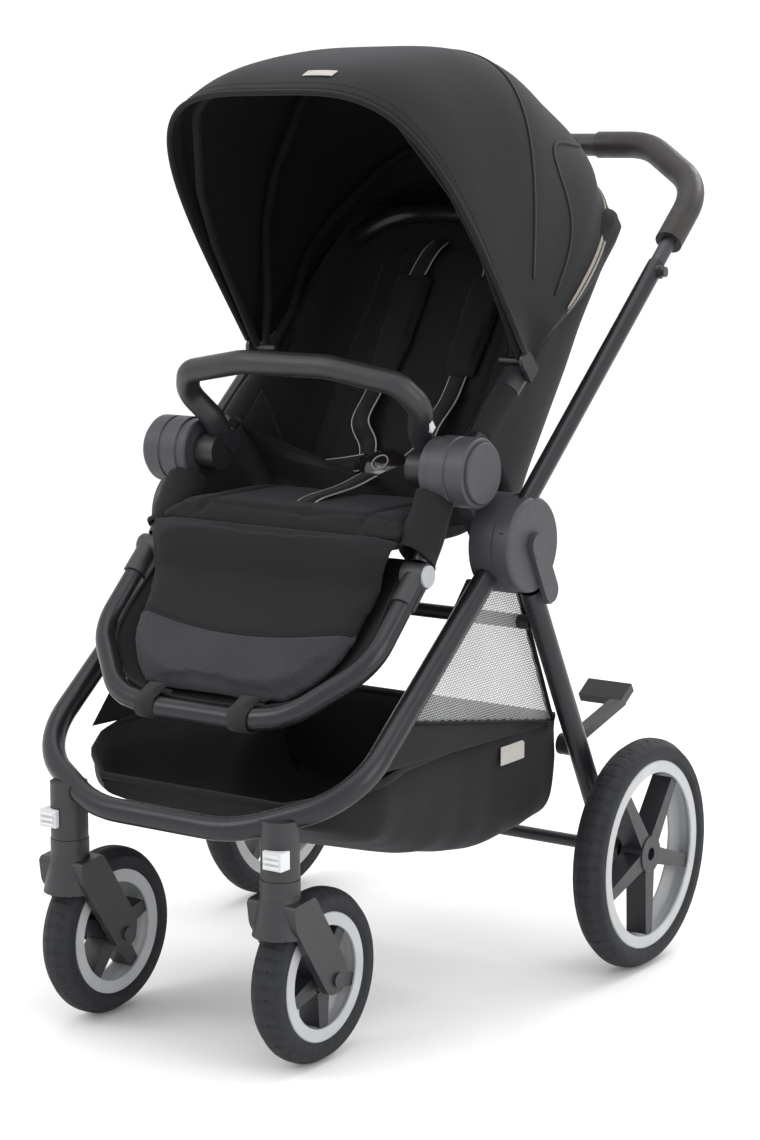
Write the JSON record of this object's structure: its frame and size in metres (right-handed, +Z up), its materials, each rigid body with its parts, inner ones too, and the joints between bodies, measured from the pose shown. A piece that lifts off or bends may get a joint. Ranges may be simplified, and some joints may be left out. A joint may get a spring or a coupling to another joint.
{
  "type": "baby stroller",
  "caption": "Folding four-wheel pushchair with swivel front casters, reclining seat, folding canopy, bumper bar, leg rest, telescopic handle and under-seat basket.",
  "frame": {"origin": "on the ground, midway between the outermost points of the stroller in x and y", "axes": "+Z up, -Y the way the stroller rolls and the child looks, +X the child's left"},
  "size_m": [0.6, 0.864, 1.1123],
  "materials": {
    "charcoal_tube": "satin powder coat",
    "dark_plastic": "matte",
    "grey_plastic": "matte",
    "dark_steel": "blackened",
    "black_plastic": "gloss",
    "white_plastic": "matte",
    "silver_plastic": "satin",
    "grip_leather": "fine grain",
    "black_fabric": "fine weave",
    "mesh_fabric": "open mesh",
    "bow_plastic": "matte",
    "tyre": "matte",
    "rim_silver": "satin"
  },
  "bodies": {
    "chassis": {"front_frame": "charcoal_tube", "hub_housing_left": "dark_plastic", "hub_housing_right": "dark_plastic", "caster_socket_left": "dark_plastic", "caster_socket_right": "dark_plastic", "basket_tub": "black_fabric", "basket_sides": "mesh_fabric"},
    "rear_legs": {"rear_leg_left": "charcoal_tube", "rear_leg_right": "charcoal_tube", "rear_leg_arms": "grey_plastic", "rear_crossbar": "charcoal_tube", "rear_axle": "dark_plastic"},
    "handle": {"handle_tube_left": "charcoal_tube", "handle_tube_right": "charcoal_tube", "fold_discs": "grey_plastic", "cup_holder_studs": "dark_steel"},
    "handlebar": {"handlebar_tube": "charcoal_tube", "handlebar_grip": "grip_leather", "handlebar_housing": "dark_plastic"},
    "height_button": {"height_button": "black_plastic"},
    "brake": {"brake_pedal": "dark_plastic"},
    "seat": {"seat_drum_left": "grey_plastic", "seat_drum_right": "grey_plastic", "seat_adapters": "dark_plastic", "seat_side_tubes": "charcoal_tube", "seat_base_pad": "black_fabric", "crotch_buckle": "black_plastic"},
    "backrest": {"backrest_frame": "charcoal_tube", "backrest_pad": "black_fabric", "harness": "black_fabric", "canopy_hinges": "dark_plastic", "canopy_rear_bow": "bow_plastic"},
    "canopy_middle": {"canopy_mid_bow": "bow_plastic"},
    "canopy_front": {"canopy_rim_bow": "bow_plastic", "canopy_fabric": "black_fabric"},
    "legrest": {"legrest_loop": "charcoal_tube", "legrest_pad": "black_fabric", "legrest_collars": "dark_plastic"},
    "bumper": {"bumper_bar": "grip_leather"},
    "bumper_button": {"bumper_button": "white_plastic"},
    "caster_left": {"caster_fork_left": "dark_plastic", "caster_axle_left": "dark_steel"},
    "front_wheel_left": {"front_tyre_left": "tyre", "front_rim_left": "rim_silver", "front_spokes_left": "dark_plastic"},
    "rear_wheel_left": {"rear_tyre_left": "tyre", "rear_rim_left": "rim_silver", "rear_spokes_left": "dark_plastic"},
    "swivel_lock_left": {"swivel_lock_left": "white_plastic"},
    "legrest_button_left": {"legrest_button_left": "silver_plastic"},
    "caster_right": {"caster_fork_right": "dark_plastic", "caster_axle_right": "dark_steel"},
    "front_wheel_right": {"front_tyre_right": "tyre", "front_rim_right": "rim_silver", "front_spokes_right": "dark_plastic"},
    "rear_wheel_right": {"rear_tyre_right": "tyre", "rear_rim_right": "rim_silver", "rear_spokes_right": "dark_plastic"},
    "swivel_lock_right": {"swivel_lock_right": "white_plastic"},
    "legrest_button_right": {"legrest_button_right": "silver_plastic"}
  },
  "joints": [
    {"name": "frame_fold", "type": "hinge", "parent": "chassis", "child": "handle", "pos_m": [0, -0.05625, 0.548], "axis": [1, 0, 0], "range_deg": [0, 155]},
    {"name": "rear_leg_fold", "type": "hinge", "parent": "chassis", "child": "rear_legs", "pos_m": [0, -0.05625, 0.548], "axis": [1, 0, 0], "range_deg": [-46, 0], "deforming": ["basket_tub", "basket_sides"]},
    {"name": "handle_slide", "type": "slide", "parent": "handle", "child": "handlebar", "axis": [0, 0.7604, 0.6494], "range_m": [0, 0.08]},
    {"name": "height_button_press", "type": "slide", "parent": "handlebar", "child": "height_button", "axis": [0, -0.5075, 0.8616], "range_m": [0, 0.003], "stiffness_N_per_m": 500},
    {"name": "brake_press", "type": "hinge", "parent": "rear_legs", "child": "brake", "pos_m": [0, 0.10493, 0.27938], "axis": [1, 0, 0], "range_deg": [-12, 0]},
    {"name": "seat_lift", "type": "slide", "parent": "chassis", "child": "seat", "axis": [0, 0, 1], "range_m": [0, 0.12]},
    {"name": "backrest_recline", "type": "hinge", "parent": "seat", "child": "backrest", "pos_m": [0, -0.12025, 0.634], "axis": [1, 0, 0], "range_deg": [-30, 15]},
    {"name": "canopy_fold", "type": "hinge", "parent": "backrest", "child": "canopy_front", "pos_m": [0, 0.02175, 0.748], "axis": [1, 0, 0], "range_deg": [-57, 0], "deforming": ["canopy_fabric"]},
    {"name": "canopy_middle_fold", "type": "hinge", "parent": "backrest", "child": "canopy_middle", "pos_m": [0, 0.02175, 0.748], "axis": [1, 0, 0], "range_deg": [-27, 0]},
    {"name": "legrest_tilt", "type": "hinge", "parent": "seat", "child": "legrest", "pos_m": [0, -0.19125, 0.525], "axis": [1, 0, 0], "range_deg": [-40, 25]},
    {"name": "bumper_tilt", "type": "hinge", "parent": "seat", "child": "bumper", "pos_m": [0, -0.12025, 0.634], "axis": [1, 0, 0], "range_deg": [0, 55]},
    {"name": "bumper_button_press", "type": "slide", "parent": "bumper", "child": "bumper_button", "axis": [-1, 0, 0], "range_m": [0, 0.0015], "stiffness_N_per_m": 500},
    {"name": "caster_swivel_left", "type": "hinge", "parent": "chassis", "child": "caster_left", "pos_m": [0.1485, -0.39425, 0.23], "axis": [0, 0, 1], "continuous": true},
    {"name": "front_wheel_spin_left", "type": "hinge", "parent": "caster_left", "child": "front_wheel_left", "pos_m": [0.1485, -0.33425, 0.0975], "axis": [1, 0, 0], "continuous": true},
    {"name": "rear_wheel_spin_left", "type": "hinge", "parent": "rear_legs", "child": "rear_wheel_left", "pos_m": [0.28, 0.16675, 0.141], "axis": [1, 0, 0], "continuous": true},
    {"name": "swivel_lock_slide_left", "type": "slide", "parent": "chassis", "child": "swivel_lock_left", "axis": [0, 0, 1], "range_m": [-0.006, 0]},
    {"name": "legrest_button_press_left", "type": "slide", "parent": "legrest", "child": "legrest_button_left", "axis": [-1, 0, 0], "range_m": [0, 0.003], "stiffness_N_per_m": 500},
    {"name": "caster_swivel_right", "type": "hinge", "parent": "chassis", "child": "caster_right", "pos_m": [-0.1485, -0.39425, 0.23], "axis": [0, 0, 1], "continuous": true},
    {"name": "front_wheel_spin_right", "type": "hinge", "parent": "caster_right", "child": "front_wheel_right", "pos_m": [-0.1485, -0.33425, 0.0975], "axis": [1, 0, 0], "continuous": true},
    {"name": "rear_wheel_spin_right", "type": "hinge", "parent": "rear_legs", "child": "rear_wheel_right", "pos_m": [-0.28, 0.16675, 0.141], "axis": [1, 0, 0], "continuous": true},
    {"name": "swivel_lock_slide_right", "type": "slide", "parent": "chassis", "child": "swivel_lock_right", "axis": [0, 0, 1], "range_m": [-0.006, 0]},
    {"name": "legrest_button_press_right", "type": "slide", "parent": "legrest", "child": "legrest_button_right", "axis": [1, 0, 0], "range_m": [0, 0.003], "stiffness_N_per_m": 500}
  ],
  "couplings": [
    {"joint": "rear_leg_fold", "follows": "frame_fold", "ratio": -0.29},
    {"joint": "canopy_middle_fold", "follows": "canopy_fold", "ratio": 0.456}
  ]
}
